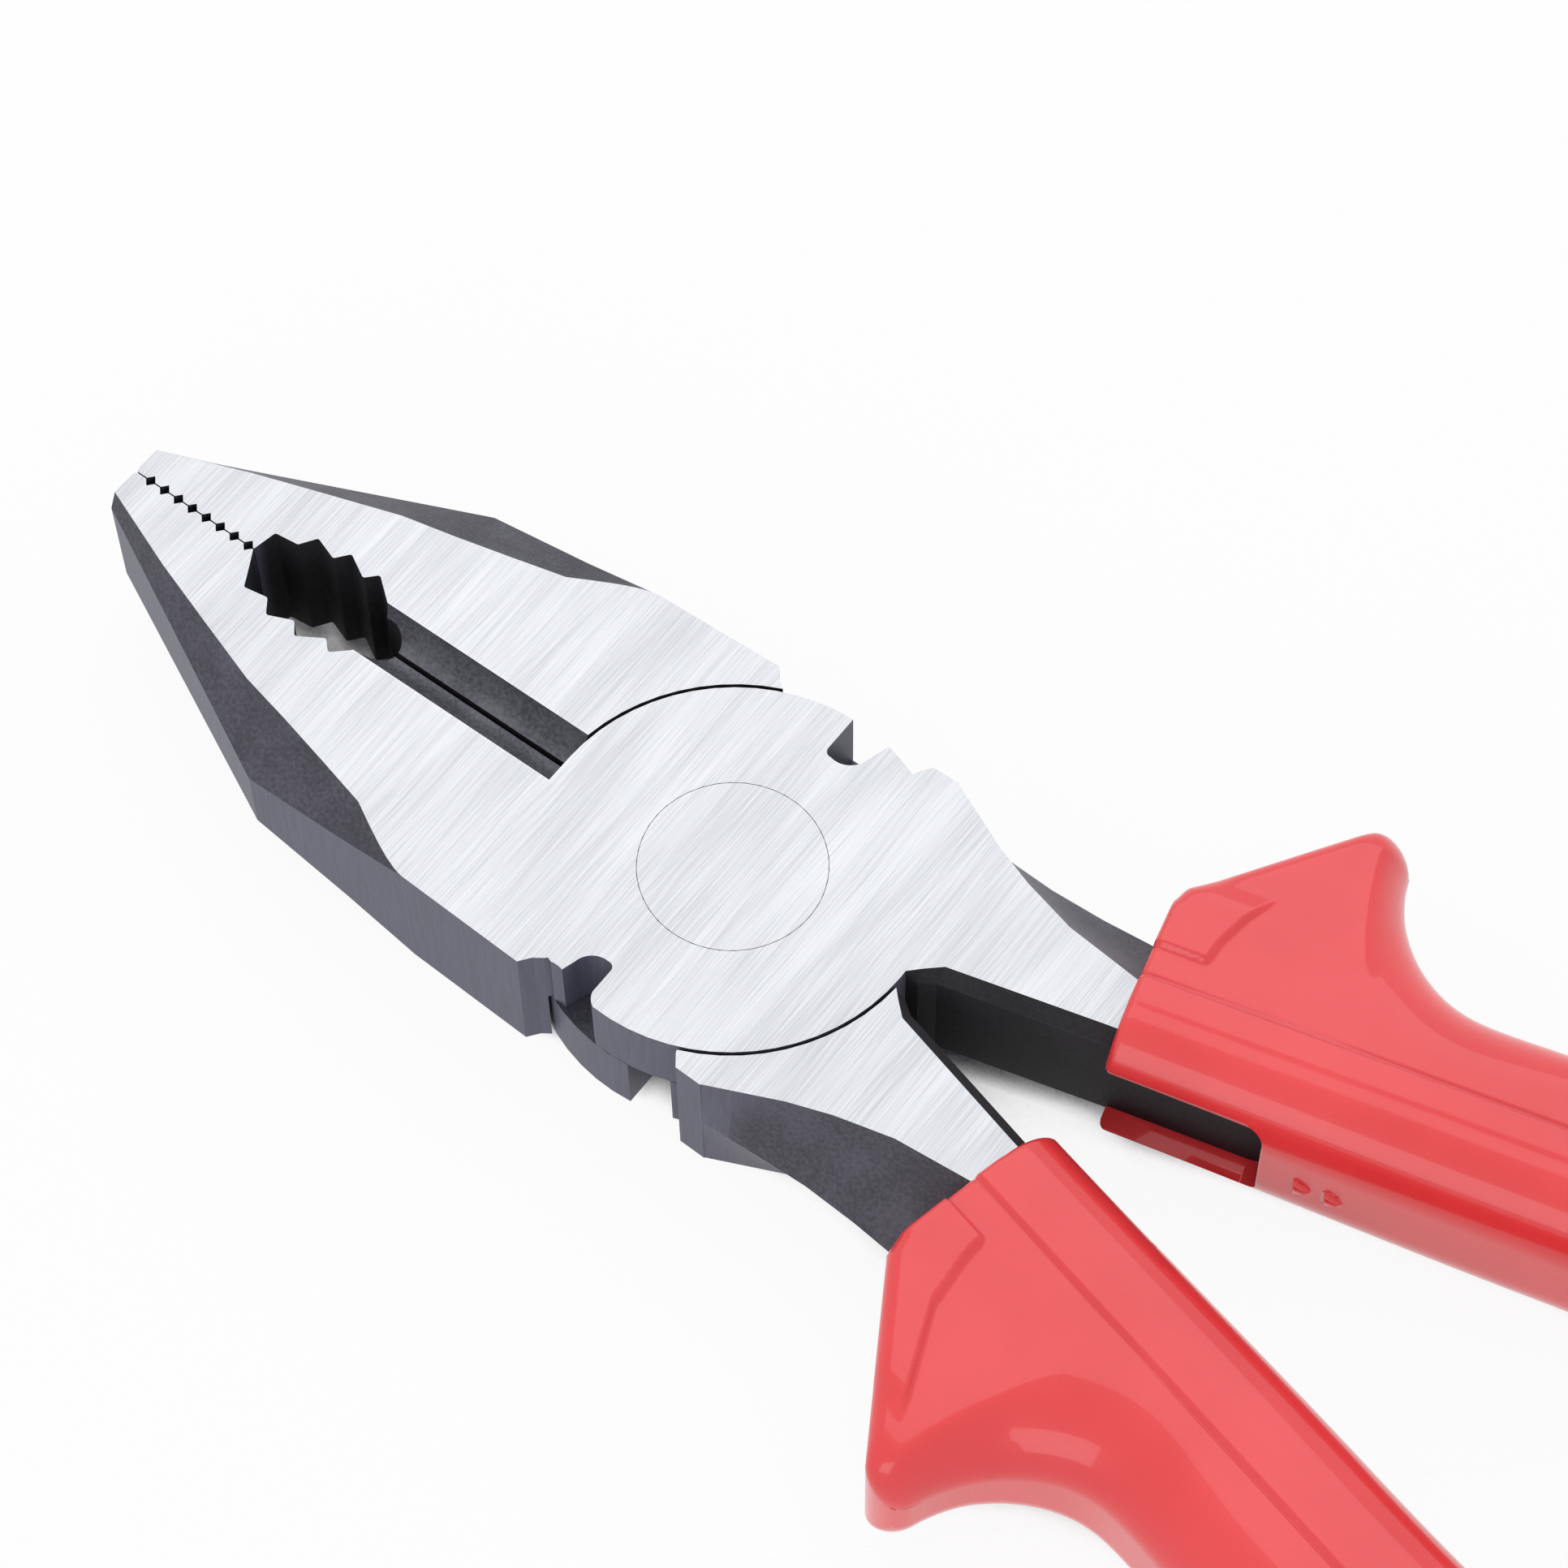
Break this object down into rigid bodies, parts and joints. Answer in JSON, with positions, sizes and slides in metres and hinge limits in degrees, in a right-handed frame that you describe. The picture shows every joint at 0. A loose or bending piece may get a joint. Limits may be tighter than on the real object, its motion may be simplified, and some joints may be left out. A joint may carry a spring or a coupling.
{
  "type": "lineman pliers",
  "caption": "Lineman pliers with gripping nose, toothed pipe grip, side cutter and shear notches, on a riveted half-lap joint, with moulded guard sleeves.",
  "frame": {"origin": "on the pivot axis, at the lower ground face of the head", "axes": "+Z along the pivot axis, square to the ground faces; the nose points to -X and the handles run to +X; +Y completes the right-handed frame"},
  "size_m": [0.2078, 0.0584, 0.0147],
  "materials": {
    "forged_steel": "ground faces, dark forged flanks",
    "rivet_steel": "ground flush",
    "sleeve": "glossy moulded"
  },
  "bodies": {
    "lower_half": {"lever_b": "forged_steel", "sleeve_b": "sleeve", "rivet": "rivet_steel"},
    "upper_half": {"lever_a": "forged_steel", "sleeve_a": "sleeve"}
  },
  "joints": [
    {"name": "pivot", "type": "hinge", "parent": "lower_half", "child": "upper_half", "pos_m": [0, 0, 0], "axis": [0, 0, 1], "range_deg": [0, 40]}
  ]
}
